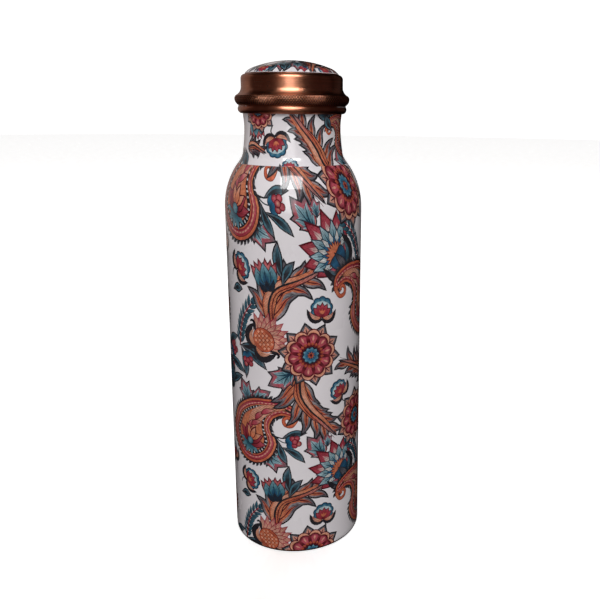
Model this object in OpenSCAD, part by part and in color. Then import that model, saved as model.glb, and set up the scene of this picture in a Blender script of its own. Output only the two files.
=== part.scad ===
// Copper water bottle: a drawn copper body with a printed and lacquered skin,
// a pressed base, a soldered neck ring with an outside thread, and a screw cap
// with a rolled bead, a curled crown and a printed dome.
// +Z is up, and the origin is the middle of the foot, on the table.
// The thread is right-handed: the cap turns about +Z to open and rises one pitch a turn.

/* [Body] */
// Outside diameter of the straight wall, skin included
body_d = 73; // [68:0.5:80]
// Height at which the straight wall turns into the shoulder
shoulder_z = 189.5; // [140:0.5:230]
// Radius of the shoulder's curve
shoulder_r = 39.5; // [36:0.5:44]
// Thickness of the body's copper sheet
sheet_t = 0.5; // [0.4:0.05:0.6]
// Thickness of the printed skin and its lacquer
print_t = 0.2; // [0.1:0.05:0.3]
// Height above the shoulder's start at which the body's film meets the neck's film
film_seam_h = 23.5; // [18:0.5:24]

/* [Base] */
// Height of the copper foot that shows below the skin
foot_h = 1; // [0.8:0.1:1.6]
// Width of the flat ring that the bottle stands on
foot_w = 1.7; // [1.2:0.1:2.4]
// Height of the recessed floor's underside above the table
base_recess = 3.6; // [2.6:0.1:6]
// Height to which the base's flange reaches inside the wall
base_flange_z = 8; // [7:0.5:12]

/* [Neck] */
// Radius of the hollow curve between the shoulder and the neck
neck_fillet_r = 8; // [6:0.5:10]
// Outside diameter where the neck leaves that curve
neck_foot_d = 52; // [51.4:0.1:53]
// Outside diameter of the neck's waist
neck_waist_d = 50.1; // [49.6:0.1:51]
// Outside diameter of the neck where it meets the collar
neck_top_d = 51.4; // [51.2:0.1:51.8]
// Height of the neck from its foot to the collar
neck_h = 18.4; // [14:0.2:24]
// Diameter of the rolled collar
collar_d = 56.2; // [55:0.1:57]
// Height of the rolled collar
collar_h = 3.6; // [3.4:0.1:4.2]

/* [Thread] */
// Rise of the thread in one turn
thread_pitch = 4; // [4:0.25:5]
// Number of turns of each ridge
thread_turns = 2; // [1.5:0.25:2.25]
// Height of each ridge above its wall
ridge_h = 1; // [0.8:0.05:1.1]
// Width of each ridge at its root
ridge_root_w = 2; // [1.6:0.1:2]
// Width of each ridge at its crest
ridge_crest_w = 1.2; // [0.8:0.1:1.2]
// Clearance between a ridge's crest and the wall it faces
thread_gap = 0.3; // [0.25:0.05:0.4]

/* [Cap] */
// Thickness of the cap's copper sheet
cap_t = 0.6; // [0.5:0.05:0.7]
// Diameter of the cap over its knurled bead
bead_d = 59.2; // [58:0.1:60]
// Diameter of the cap's straight skirt
skirt_d = 52.34; // [52:0.02:52.8]
// Gap between the collar and the cap's hem
hem_gap = 0.5; // [0.4:0.1:1]
// Diameter of the curled lip that holds the dome
lip_d = 47.9; // [47.6:0.1:48.1]
// Radius of the dome's shallow middle
dome_r = 56; // [52:1:70]
// Diameter at which the shallow middle gives way to the tighter curve at the edge
dome_middle_d = 40; // [38:0.5:42]
// Radius of that tighter curve
dome_edge_r = 10; // [9:0.5:14]
// Thickness of the silicone washer under the cap's liner
gasket_t = 1.3; // [1:0.1:1.5]

/* [Hidden] */
$fn = 96;
THREAD_STEPS = 40;              // facets in one turn of a thread ridge
ARC_STEPS = 10;                 // straight steps in each curved stretch of a profile

body_r = body_d / 2;
shoulder_x = body_r - shoulder_r;           // radius at which the shoulder's arc is centred
neck_foot_r = neck_foot_d / 2;
neck_waist_r = neck_waist_d / 2;
neck_top_r = neck_top_d / 2;

// The shoulder's arc and the neck's hollow curve touch at this angle above the horizontal.
shoulder_a = acos((neck_foot_r + neck_fillet_r - shoulder_x) / (shoulder_r + neck_fillet_r));
film_seam_a = asin(film_seam_h / shoulder_r);
neck_foot_z = shoulder_z + (shoulder_r + neck_fillet_r) * sin(shoulder_a);
neck_waist_z = neck_foot_z + 0.64 * neck_h;

collar_z = neck_foot_z + neck_h;
collar_top_z = collar_z + collar_h;
collar_round = collar_d / 2 - (neck_top_r + 0.2);       // radius of the collar's rolled edge

// Heights and radii of the threaded rings, from the collar upwards
ring_wall = 0.9;                            // wall of the cap's threaded ring
tube_wall = 0.6;                            // wall of the neck's threaded tube
rim_roll = 0.6;                             // how far the mouth's rolled rim stands inwards
ring_r = skirt_d / 2 - cap_t;               // outside of the cap's threaded ring
ring_bore_r = ring_r - ring_wall;
tube_r = ring_bore_r - thread_gap - ridge_h;            // outside of the neck's threaded tube
tube_bore_r = tube_r - tube_wall;
ring_z = collar_top_z + 1.1;
thread_z = collar_top_z + ridge_root_w / 2 + 1.6;       // centre of the neck's ridge at its start
rim_z = thread_z + thread_pitch * thread_turns + ridge_root_w / 2 + 0.5;
bite = 0.3;                                 // how deep a ridge is sunk into its wall

// Heights of the cap's inside parts and of its outline
seal_gap = 0.05;
gasket_z = rim_z + seal_gap;
liner_z = gasket_z + gasket_t + seal_gap;
liner_t = 0.5;
gasket_r = ring_bore_r - thread_gap;
gasket_bore_r = tube_bore_r - 1.55;
bead_low_r = 3.75;                          // lower half of the bead
bead_high_r = 2;                            // upper half of the bead
hem_a = 60;                                 // the bead curls in to this angle below its middle
cove_r = 4.5;                               // hollow between the bead and the skirt
crown_r = 2.2;                              // curl over the top of the skirt
bead_z = collar_top_z + hem_gap + bead_low_r * sin(hem_a);
cove_a = acos((skirt_d / 2 + cove_r - bead_d / 2 + bead_high_r) / (bead_high_r + cove_r));
cove_z = bead_z + (bead_high_r + cove_r) * sin(cove_a);
crown_z = liner_z;
lip_r = lip_d / 2;
lip_z = crown_z + sqrt(pow(crown_r, 2) - pow(lip_r - skirt_d / 2 + crown_r, 2));

// The dome's two arcs touch at this angle above the horizontal, and its edge is just above the lip.
dome_a = acos(dome_middle_d / 2 / dome_r);
dome_edge_x = (dome_r - dome_edge_r) * cos(dome_a);     // radius at which the edge's arc is centred
dome_edge_rise = (dome_r - dome_edge_r) * sin(dome_a)
    + sqrt(pow(dome_edge_r, 2) - pow(lip_r - dome_edge_x, 2));
dome_centre_z = lip_z + 0.5 - dome_edge_rise;

COPPER = "#8a4a30";
COPPER_INSIDE = "#a8603c";
INK = "#c9beb8";
SILICONE = "#e6e4dc";

function reverse(list) = [for (i = [len(list) - 1:-1:0]) list[i]];

// Points on an arc in the r, z plane
function arc(centre, r, from, to, steps = ARC_STEPS) =
    [for (i = [0:steps]) let (a = from + (to - from) * i / steps) centre + r * [cos(a), sin(a)]];

// The body's outline, moved inwards by a depth, in its three stretches
function straight_wall(depth) = [[body_r - depth, foot_h]];
function shoulder(depth, from, to) =
    arc([shoulder_x, shoulder_z], shoulder_r - depth, from, to);
function neck_hollow(depth) =
    arc([neck_foot_r + neck_fillet_r, neck_foot_z], neck_fillet_r + depth, 180 + shoulder_a, 180);
function neck_flare(depth) =
    [for (i = [1:ARC_STEPS]) let (z = neck_foot_z + neck_h * i / ARC_STEPS) [neck_r(z) - depth, z]];

// Radius of the neck at a height: it narrows to the waist and then flares to the collar
function neck_r(z) =
    z < neck_waist_z
    ? neck_waist_r
        + (neck_foot_r - neck_waist_r) * pow((neck_waist_z - z) / (neck_waist_z - neck_foot_z), 2)
    : neck_waist_r
        + (neck_top_r - neck_waist_r) * pow((z - neck_waist_z) / (collar_z - neck_waist_z), 2);

function lower_outline(depth) =
    concat(straight_wall(depth), shoulder(depth, 0, film_seam_a));
function upper_outline(depth) =
    concat(shoulder(depth, film_seam_a, shoulder_a), neck_hollow(depth), neck_flare(depth));

// The cap's outline, moved inwards by a depth: bead, cove, skirt and curled crown
function cap_outline(depth) =
    let (crown_x = skirt_d / 2 - crown_r)
    concat(
        arc([bead_d / 2 - bead_low_r, bead_z], bead_low_r - depth, -hem_a, 0),
        arc([bead_d / 2 - bead_high_r, bead_z], bead_high_r - depth, 0, cove_a),
        arc([skirt_d / 2 + cove_r, cove_z], cove_r + depth, 180 + cove_a, 180),
        arc([crown_x, crown_z], crown_r - depth, 0, acos((lip_r - crown_x) / (crown_r - depth)))
    );

// A sheet turned about Z between an outer and an inner outline
module turned_sheet(outer, inner) {
    rotate_extrude() polygon(concat(outer, reverse(inner)));
}

// A ring of rectangular section
module ring(r_out, r_in, z, h) {
    rotate_extrude() translate([r_in, z]) square([r_out - r_in, h]);
}

// A helical ridge whose crest rises and falls over the first and last eighth of a turn.
// The crest may lie outside the root, as on a screw, or inside it, as in a nut.
module ridge(root_r, crest_r, start_a, z) {
    steps = round(THREAD_STEPS * thread_turns);
    run_in = THREAD_STEPS / 8;
    low_r = root_r + 0.1 * sign(crest_r - root_r);
    sections = [for (i = [0:steps])
        let (a = start_a + 360 * thread_turns * i / steps)
        let (c = z + thread_pitch * thread_turns * i / steps)
        let (rise = min(1, i / run_in, (steps - i) / run_in))
        let (r = low_r + (crest_r - low_r) * rise)
        for (p = [
            [root_r, c - ridge_root_w / 2],
            [r, c - ridge_crest_w / 2],
            [r, c + ridge_crest_w / 2],
            [root_r, c + ridge_root_w / 2],
        ]) [p[0] * cos(a), p[0] * sin(a), p[1]]];
    sides = [for (i = [0:steps - 1], k = [0:3])
        let (p = 4 * i + k, q = 4 * i + (k + 1) % 4)
        each [[p, q, q + 4], [p, q + 4, p + 4]]];
    last = 4 * steps;
    faces = concat(sides, [[0, 2, 1], [0, 3, 2], [last, last + 1, last + 2],
        [last, last + 2, last + 3]]);
    polyhedron(sections, crest_r > root_r ? faces : [for (f = faces) reverse(f)]);
}

// Drawn copper body, open at the bottom for the base and at the top for the neck ring
module body_shell() {
    top = function (depth) [[neck_top_r - depth, collar_top_z]];
    color(COPPER_INSIDE)
        turned_sheet(
            concat(lower_outline(print_t), upper_outline(print_t), top(print_t)),
            concat(
                lower_outline(print_t + sheet_t),
                upper_outline(print_t + sheet_t),
                top(print_t + sheet_t)
            )
        );
}

// Pressed base: a foot that shows below the skin, a recessed floor and an inner flange
module base_cup() {
    wall_r = body_r - print_t;                  // outside of the copper wall above the foot
    bore_r = wall_r - sheet_t;
    foot_r = wall_r + 0.1;
    edge = 0.5;                                 // rounding of the foot's outer edge
    floor_r = foot_r - edge - foot_w - 3;
    color(COPPER)
        rotate_extrude()
            polygon(concat(
                [[0, base_recess], [floor_r, base_recess], [foot_r - edge - foot_w, 0]],
                arc([foot_r - edge, edge], edge, -90, 0, 5),
                [
                    [foot_r, foot_h],
                    [bore_r, foot_h],
                    [bore_r, base_flange_z],
                    [bore_r - sheet_t, base_flange_z],
                    [bore_r - sheet_t, 1.6],
                    [foot_r - edge - foot_w + 0.5, 0.8],
                    [floor_r + 0.5, base_recess + 0.6],
                    [0, base_recess + 0.6],
                ]
            ));
}

// Threaded mouth ring: a sleeve inside the neck, a step inwards, and the tube with its ridge
module neck_thread_ring() {
    sleeve_r = neck_top_r - print_t - sheet_t;
    step_z = collar_top_z - tube_wall;
    roll = (tube_wall + rim_roll) / 2;          // the mouth's rim is rolled to this radius
    color(COPPER)
        union() {
            rotate_extrude()
                polygon(concat(
                    [
                        [sleeve_r, collar_z],
                        [sleeve_r, collar_top_z],
                        [tube_r, collar_top_z],
                        [tube_r, rim_z - roll],
                    ],
                    arc([tube_r - roll, rim_z - roll], roll, 18, 198, 8),
                    [
                        [tube_bore_r, rim_z - 2.2],
                        [tube_bore_r, step_z],
                        [sleeve_r - tube_wall, step_z],
                        [sleeve_r - tube_wall, collar_z],
                    ]
                ));
            ridge(tube_r - bite, tube_r + ridge_h, 0, thread_z);
        }
}

// Rolled collar around the top of the neck, just below the cap's hem
module neck_collar() {
    inner_r = neck_top_r - print_t;
    centre = [collar_d / 2 - collar_round, collar_z + collar_round];
    color(COPPER)
        rotate_extrude()
            polygon(concat(
                [[inner_r, collar_z]],
                arc(centre, collar_round, -90, asin((collar_h - collar_round) / collar_round)),
                [[inner_r, collar_top_z]]
            ));
}

// Printed skin of the body, from the foot to the seam on the shoulder
module body_print() {
    color(INK) turned_sheet(lower_outline(0), lower_outline(print_t));
}

// Printed skin of the neck, from that seam to the collar
module neck_print() {
    color(INK) turned_sheet(upper_outline(0), upper_outline(print_t));
}

// Silicone washer between the mouth's rim and the cap's liner
module cap_gasket() {
    color(SILICONE) ring(gasket_r, gasket_bore_r, gasket_z, gasket_t);
}

// Copper skirt with its bead, cove and curled crown
module cap_skirt() {
    color(COPPER) turned_sheet(cap_outline(0), cap_outline(cap_t));
}

// Threaded ring inside the skirt: its ridge runs half a pitch above the neck's
module cap_thread_ring() {
    color(COPPER_INSIDE)
        union() {
            ring(ring_r, ring_bore_r, ring_z, liner_z - ring_z);
            ridge(ring_bore_r + bite, ring_bore_r - ridge_h, -180, thread_z);
        }
}

// Flat disc that closes the cap above the washer
module cap_liner() {
    color(COPPER_INSIDE) translate([0, 0, liner_z]) cylinder(r = ring_r - 0.15, h = liner_t);
}

// The dome's outline at a depth below its top surface: the tighter edge, then the middle
function dome_outline(depth) =
    let (centre = [dome_edge_x, dome_centre_z + (dome_r - dome_edge_r) * sin(dome_a)])
    let (edge_r = dome_edge_r - depth)
    concat(
        arc(centre, edge_r, acos((lip_r - dome_edge_x) / edge_r), dome_a),
        arc([0, dome_centre_z], dome_r - depth, dome_a, 90)
    );

// Copper dome held by the curled lip
module cap_dome() {
    color(COPPER) turned_sheet(dome_outline(print_t), dome_outline(print_t + sheet_t));
}

// Printed skin of the dome
module dome_print() {
    color(INK) turned_sheet(dome_outline(0), dome_outline(print_t));
}

body_shell();
base_cup();
neck_thread_ring();
neck_collar();
body_print();
neck_print();
cap_gasket();
cap_skirt();
cap_thread_ring();
cap_liner();
cap_dome();
dome_print();
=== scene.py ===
"""Copper water bottle with a floral print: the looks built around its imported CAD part.

Drawings are made flat, in millimetres, and are then wrapped on to the walls. Outlines in the
r, z plane are complex numbers r + z * 1j, also in millimetres. Meshes are in metres.
"""
import math
from collections import namedtuple

import bpy
import numpy as np
from mathutils import Matrix, Vector
from mathutils.geometry import delaunay_2d_cdt


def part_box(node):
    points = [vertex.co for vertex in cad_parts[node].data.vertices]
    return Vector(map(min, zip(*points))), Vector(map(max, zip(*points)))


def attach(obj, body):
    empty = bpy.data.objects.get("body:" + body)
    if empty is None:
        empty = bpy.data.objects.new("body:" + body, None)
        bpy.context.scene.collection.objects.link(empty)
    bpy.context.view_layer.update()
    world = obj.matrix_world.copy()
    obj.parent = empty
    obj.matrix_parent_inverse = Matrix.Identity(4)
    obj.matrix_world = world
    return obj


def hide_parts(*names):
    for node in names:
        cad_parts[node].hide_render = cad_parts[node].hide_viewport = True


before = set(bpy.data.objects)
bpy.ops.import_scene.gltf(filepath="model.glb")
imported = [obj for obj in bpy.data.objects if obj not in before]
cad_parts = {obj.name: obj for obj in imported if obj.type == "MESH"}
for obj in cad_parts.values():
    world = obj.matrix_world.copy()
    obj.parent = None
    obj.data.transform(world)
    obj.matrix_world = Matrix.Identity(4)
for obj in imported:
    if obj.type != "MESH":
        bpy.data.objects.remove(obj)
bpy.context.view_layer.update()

MM = 0.001

# ---------------------------------------------------------------- paints
PAINTS = {
    "ground": "#e4dfe2",
    "charcoal": "#29272c",
    "grey": "#66646a",
    "ash": "#9c989c",
    "orange": "#c26044",
    "amber": "#ce7d5a",
    "peach": "#d9a28b",
    "salmon": "#c77d72",
    "rose": "#b5505d",
    "crimson": "#98303d",
    "maroon": "#561721",
    "rust": "#87392a",
    "ice": "#b5c8ce",
    "aqua": "#779fab",
    "teal": "#3f7080",
    "blue": "#245d80",
    "navy": "#1a3143",
    "pine": "#2a3b42",
    "cream": "#ddd1c9",
}


def linear(code):
    """The linear colour of an sRGB hex code."""
    parts = [int(code[i:i + 2], 16) / 255 for i in (1, 3, 5)]
    return np.array([c / 12.92 if c <= 0.04045 else ((c + 0.055) / 1.055) ** 2.4 for c in parts])


# ---------------------------------------------------------------- drawing tools
# A drawing is a list of shapes in painting order. Places are complex numbers in millimetres.
# A shape's colour runs through its paints from place a to place b, or outwards from a if it
# is radial, and hatch says how strongly fine lines from a to b show on it.
Shape = namedtuple("Shape", "outline a b paints radial hatch")
LINE = 1.45                 # how heavily the outlines are inked


def cis(degrees):
    """The unit vector at an angle."""
    return complex(math.cos(math.radians(degrees)), math.sin(math.radians(degrees)))


def through(points, closed=False, steps=5):
    """A smooth curve through a few places."""
    p = np.array(points, complex)
    n = len(p)
    out = []
    for i in range(n if closed else n - 1):
        if closed:
            q = [p[(i + k) % n] for k in (-1, 0, 1, 2)]
        else:
            q = [p[max(i - 1, 0)], p[i], p[i + 1], p[min(i + 2, n - 1)]]
        for t in np.arange(steps) / steps:
            out.append(0.5 * (2 * q[1] + (q[2] - q[0]) * t
                              + (2 * q[0] - 5 * q[1] + 4 * q[2] - q[3]) * t ** 2
                              + (3 * q[1] - q[0] - 3 * q[2] + q[3]) * t ** 3))
    if not closed:
        out.append(p[-1])
    return np.array(out)


def normals(path, closed=False):
    """Unit vectors to the left of each step along a path."""
    d = (np.roll(path, -1) - np.roll(path, 1)) if closed else np.gradient(path)
    return 1j * d / np.maximum(abs(d), 1e-9)


def area(outline):
    """Twice the signed area that a closed outline holds."""
    return float(np.sum((np.conj(outline) * np.roll(outline, -1)).imag))


def grow(outline, by):
    """A closed outline moved outwards, with its corners kept short."""
    back = outline - np.roll(outline, 1)
    ahead = np.roll(outline, -1) - outline
    back = back / np.maximum(abs(back), 1e-9)
    ahead = ahead / np.maximum(abs(ahead), 1e-9)
    out = -1j * (back + ahead) * (1 if area(outline) > 0 else -1)
    length = np.maximum(abs(out), 1e-9)
    reach = np.minimum(2 / np.maximum(length, 0.5), 2.2)
    corner = length < 0.7
    spike = (back - ahead) / np.maximum(abs(back - ahead), 1e-9)
    return outline + by * np.where(corner, spike * 1.6, out / length * reach)


def fill(outline, paints, a=None, b=None, radial=False, hatch=0.0):
    """A painted shape."""
    outline = np.array(outline, complex)
    a = outline[0] if a is None else a
    b = outline[len(outline) // 2] if b is None else b
    return Shape(outline, a, b, paints.split(), radial, hatch)


def disc(centre, r, paints, steps=14):
    """A round spot, shaded from its middle."""
    ring = centre + r * np.exp(2j * np.pi * np.arange(steps) / steps)
    return fill(ring, paints, centre, centre + r, radial=True)


def leaf(base, tip, width, paints, bend=0.0, belly=0.8, hatch=0.0, steps=7):
    """A pointed leaf. Bend bows it to the left by that share of its length, and a belly under 1
    puts its widest place nearer its base."""
    t = np.linspace(0, 1, steps + 1)
    axis = tip - base
    spine = base + axis * (t + 4j * bend * t * (1 - t))
    half = normals(spine) * width / 2 * np.sin(np.pi * t ** belly)
    return fill(np.concatenate([spine - half, (spine + half)[-2:0:-1]]), paints, base, tip,
                hatch=hatch)


def stroke(path, start, end, paints):
    """A line of changing width along a path."""
    path = np.array(path, complex)
    half = normals(path) * np.linspace(start, end, len(path)) / 2
    return fill(np.concatenate([path - half, (path + half)[::-1]]), paints, path[0], path[-1])


def flame(path, width, paints, hatch=0.0):
    """A curved leaf along a path, widest near its root."""
    path = np.array(path, complex)
    t = np.linspace(0, 1, len(path))
    half = normals(path) * width / 2 * np.sin(np.pi * t ** 0.62)
    return fill(np.concatenate([path - half, (path + half)[-2:0:-1]]), paints, path[0], path[-1],
                hatch=hatch)


def lined(shapes, width=0.42, paint="charcoal"):
    """Shapes with one outline round them all."""
    return [fill(grow(s.outline, LINE * width), paint) for s in shapes] + shapes


def petals(root, angles, length, width, paints, ink, paint, hatch=0.0, steps=7):
    """Leaves fanned out from a root, each with its own outline, in the order of their angles."""
    return [s for a in angles
            for s in lined([leaf(root, root + length * cis(a), width, paints, hatch=hatch,
                                 steps=steps)], ink, paint)]


def place(shapes, at, turn=0.0, size=1.0, flip=False):
    """A drawing moved, turned and, if asked, mirrored left to right first."""
    def move(p):
        return at + size * cis(turn) * (-np.conj(p) if flip else p)
    return [s._replace(outline=move(s.outline), a=move(s.a), b=move(s.b)) for s in shapes]


def laid_out(rows, scale=1.0):
    """A drawing made of rows: each has a motif, its place and, if need be, its turn, its size
    and whether it is mirrored."""
    art = []
    for motif, at, *how in rows:
        turn, size, flip = how + [0.0, 1.0, False][len(how):]
        art += place(motif, at, turn, scale * size, flip)
    return art


# ---------------------------------------------------------------- motifs
def rosette():
    """A ten-fold flower with a blue heart."""
    points, scallops, petals, wedges, rays, heart = [], [], [], [], [], []
    for k in range(10):
        d = cis(36 * k)
        mid = cis(36 * k + 18)
        points += lined([leaf(9 * mid, 17.8 * mid, 7.4, "grey", belly=0.66)], 0.6)
        points.append(leaf(10 * mid, 16.8 * mid, 4.6, "grey salmon peach", belly=0.66))
        points.append(stroke([12.5 * mid, 15.8 * mid], 0.8, 0.3, "charcoal"))
        scallops.append(disc(11.1 * d, 3.5, "orange amber peach"))
        petals.append(disc(9.2 * d, 3.3, "crimson rose rose maroon"))
        wedges.append(leaf(5.2 * mid, 12.2 * mid, 2.2, "maroon maroon crimson", belly=0.9))
        wedges.append(leaf(8.2 * d, 11.6 * d, 1.1, "salmon peach"))
        heart.append(leaf(1.3 * d, 4.7 * d, 2.3, "teal blue aqua", belly=1.3, steps=5))
    for k in range(20):
        d = cis(18 * k)
        rays.append(leaf(4.9 * d, 7.8 * d, 1.9, "rust orange", belly=0.7, steps=4))
    crown = fill([(6.6 if k % 2 else 5.5) * cis(9 * k) for k in range(40)], "maroon")
    return (points + lined(scallops, 0.45, "maroon") + lined(petals, 0.4, "maroon") + wedges
            + [disc(0, 7.2, "maroon maroon crimson", 24)] + rays + [crown]
            + [disc(0, 5.0, "navy navy charcoal", 20)] + lined(heart, 0.18, "navy")
            + [fill([(2.4 if k % 2 else 1.2) * cis(22.5 * k) for k in range(16)], "orange rust",
                    0, 2.4, radial=True), disc(0, 0.9, "maroon", 8)])


def bud(stem=8.0, sway=0.15):
    """A closed flower: a scalloped blue crown, a red heart and two dark sepals."""
    crown = [disc(5.4j + 5.2 * cis(a), 2.25, "aqua teal blue") for a in range(-24, 205, 38)]
    pale = fill(through([-5 + 3j, -5.4 + 8j, 10.4j, 5.4 + 8j, 5 + 3j, 1j], closed=True),
                "aqua ice ice", 3j, 11j)
    heart = [leaf(0.8j, 6.4 * cis(a) + 2.5j, 4.4, "maroon crimson crimson rose", steps=5)
             for a in (150, 30, 120, 60, 90)]
    sepals = []
    inner = []
    for side in (-1, 1):
        tip = 9.8 * side + 4.4j
        sepals.append(leaf(-0.8j, tip, 4.4, "charcoal", bend=-0.22 * side))
        inner.append(leaf(0.2j + 0.8 * side, 0.86 * tip, 2.6, "amber peach salmon", bend=-0.2 * side,
                          hatch=0.8))
    path = through([0, -0.5j * stem + sway * stem, -1j * stem])
    flames = [leaf(2.4j, 2.6j + 3.4 * cis(a), 1.3, "amber orange", steps=4) for a in (130, 90, 50)]
    return ([stroke(path, 1.1, 0.8, "charcoal")] + lined(crown, 0.5, "navy") + [pale]
            + lined(heart, 0.4, "maroon") + flames + lined(sepals, 0.35) + inner)


def lotus():
    """An open flower: crimson petals, blue and white ones inside them, and a dark calyx."""
    middle = 3j
    art = [stroke(through([0, -6j + 1.5, -13j + 0.5]), 1.6, 1.0, "charcoal")]
    for a, length in ((168, 14), (12, 14), (144, 17.5), (36, 17.5), (118, 19), (62, 19), (90, 20)):
        art += petals(middle, (a,), length, 8.6, "crimson rose crimson", 0.5, "maroon", hatch=0.7)
        art.append(leaf(middle, middle + 0.82 * length * cis(a), 4.4, "rose salmon cream rose",
                        hatch=0.9))
    for a in (156, 24, 131, 49, 104, 76):
        art += petals(middle, (a,), 14.6, 5.4, "navy blue aqua ice", 0.32, "navy", hatch=0.9)
        art.append(stroke([middle, middle + 11 * cis(a)], 1.0, 0.3, "navy"))
    art += petals(middle, (170, 10, 143, 37, 117, 63, 90), 10.6, 3.4, "blue ice cream", 0.26, "navy",
                  hatch=0.7)
    art += petals(middle, (156, 24, 130, 50, 103, 77), 8.6, 2.4, "navy blue blue", 0.2, "navy")
    teeth = [middle + (6.4 if k % 2 else 4.4) * cis(184 - 8 * k) for k in range(24)]
    art += lined([fill(teeth, "orange amber", middle, middle + 6j, radial=True)], 0.3, "maroon")
    cup = through([-4.7 + 4.2j, -5.2 + 1.2j, -3.2 - 3j, -0.8 - 6.5j, 0.8 - 6.5j, 3.2 - 3j, 5.2 + 1.2j,
                   4.7 + 4.2j, 4j], closed=True, steps=3)
    art += lined([fill(cup, "navy blue navy charcoal", 6j, -6j, hatch=0.6)], 0.3)
    for side in (-1, 1):
        art += lined([leaf(-5.5j, 9.4 * side + 6j, 5.0, "charcoal", bend=-0.26 * side)], 0.3)
        art.append(leaf(-4j + 0.6 * side, 7.8 * side + 4.6j, 2.4, "navy teal grey", bend=-0.24 * side,
                        hatch=0.8))
    return art + lined([leaf(-5.5j, 4.6j, 3.4, "charcoal grey navy", hatch=0.8)], 0.3)


def lobed_leaf():
    """A leaf of three pointed lobes, blue inside a rose edge."""
    lobes = [(0j, 17.5j, 9.8, 0.02), (1.0j, 6.6 + 13j, 6.8, 0.12), (1.0j, -6.6 + 11.5j, 6.8, -0.12),
             (0.5j, 6.2 + 6.2j, 4.4, 0.16), (0.5j, -6.0 + 5.4j, 4.2, -0.16)]
    art = lined([leaf(a, b, w, "grey salmon rose grey", bend=c, belly=0.85) for a, b, w, c in lobes],
                0.5)
    for a, b, w, c in lobes:
        art.append(leaf(a, a + 0.84 * (b - a), 0.66 * w, "navy teal aqua ice", bend=c, belly=0.85,
                        hatch=0.9))
    for a, b, w, c in lobes:
        t = np.linspace(0, 0.8, 6)
        art.append(stroke(a + (b - a) * (t + 4j * c * t * (1 - t)), 1.0, 0.3, "navy"))
    return art


def tulip():
    """A half-open flower of blue petals with ragged rose edges."""
    back = [leaf(-0.5j, 15.5 * cis(a), 6.4, "grey salmon rose", hatch=0.6)
            for a in (126, 54, 113, 67, 99, 81)]
    art = lined(back, 0.5, "maroon")
    front = [(-5.6 + 11.5j, 7.0, 0.14), (5.6 + 11.5j, 7.0, -0.14), (0.3 + 13.6j, 7.0, 0.0)]
    for tip, w, bend in front:
        art += lined([leaf(0, tip, w, "teal teal aqua", bend=bend, belly=0.9)], 0.35, "pine")
        art.append(leaf(0.2j, 0.7 * tip, 0.6 * w, "navy blue teal", bend=bend, hatch=0.9))
        art.append(stroke([0.5j, 0.82 * tip * (1 + 0.5j * bend)], 0.9, 0.3, "navy"))
    cup = [leaf(-2.6j, 5.2 * side + 3.2j, 3.0, "charcoal navy", bend=-0.15 * side)
           for side in (-1, 1)]
    return art + lined(cup, 0.25) + lined([leaf(-2.6j, 3.6j, 2.8, "navy charcoal")], 0.2)


def blade(tip, width=3.9, bend=0.08):
    """A narrow leaf, pale along its edge and dark down its middle."""
    whole = leaf(0, tip, width, "grey teal grey", bend=bend, belly=1.25)
    heart = leaf(0.06 * tip, 0.93 * tip, 0.56 * width, "pine charcoal teal", bend=bend, belly=1.25,
                 hatch=1.0)
    return lined([whole], 0.38) + [heart]


def berries():
    """Round red berries in a blue cup, pointing up."""
    art = lined([leaf(0, 5.2 * cis(a), 3.0, "navy blue teal") for a in (150, 30, 90)], 0.25, "navy")
    spots = [4.2j - 2.4, 4.2j + 2.4, 6.9j - 1.9, 6.9j + 1.9, 5.0j]
    for p in spots:
        art += lined([disc(p, 1.6, "peach rose crimson", 10)], 0.3, "maroon")
    return art


def sprig():
    """A forked twig with narrow leaves and berries, growing to the right from its root."""
    art = [
        stroke(through([0, 5 - 1j, 9 - 0.5j]), 0.9, 0.6, "charcoal"),
        stroke(through([0, 3 - 4j, 5.5 - 8j]), 0.9, 0.6, "charcoal"),
        stroke(through([1 - 0.8j, 5 - 3.4j, 8.5 - 4j]), 0.7, 0.5, "pine"),
    ]
    art += place(blade(13.5 + 3j), 5.5 - 0.8j)
    art += place(blade(5 - 14j, bend=-0.05), 2.6 - 3.2j)
    art += place(blade(13 - 9.5j, 4.0), 5 - 7j)
    return art + place(berries(), 8 - 4.4j, turn=-75, size=0.95)


def fern():
    """Small dark leaflets in pairs on a red stem, growing up."""
    path = through([0, 0.4 + 8j, 2.6 + 16j, 7.5 + 23j], steps=3)
    art = []
    for p, q in zip(path[1:], path[2:]):
        along = (q - p) / abs(q - p)
        for side in (-1, 1):
            art += lined([leaf(p + 0.4j * side * along, p + 5.4 * along * cis(38 * side), 1.7,
                               "navy teal", steps=4)], 0.16, "pine")
    art += lined([leaf(path[-1], path[-1] + 5 * cis(48), 2.6, "navy teal")], 0.2, "pine")
    return art + [stroke(path, 1.0, 0.6, "rust crimson")]


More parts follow.
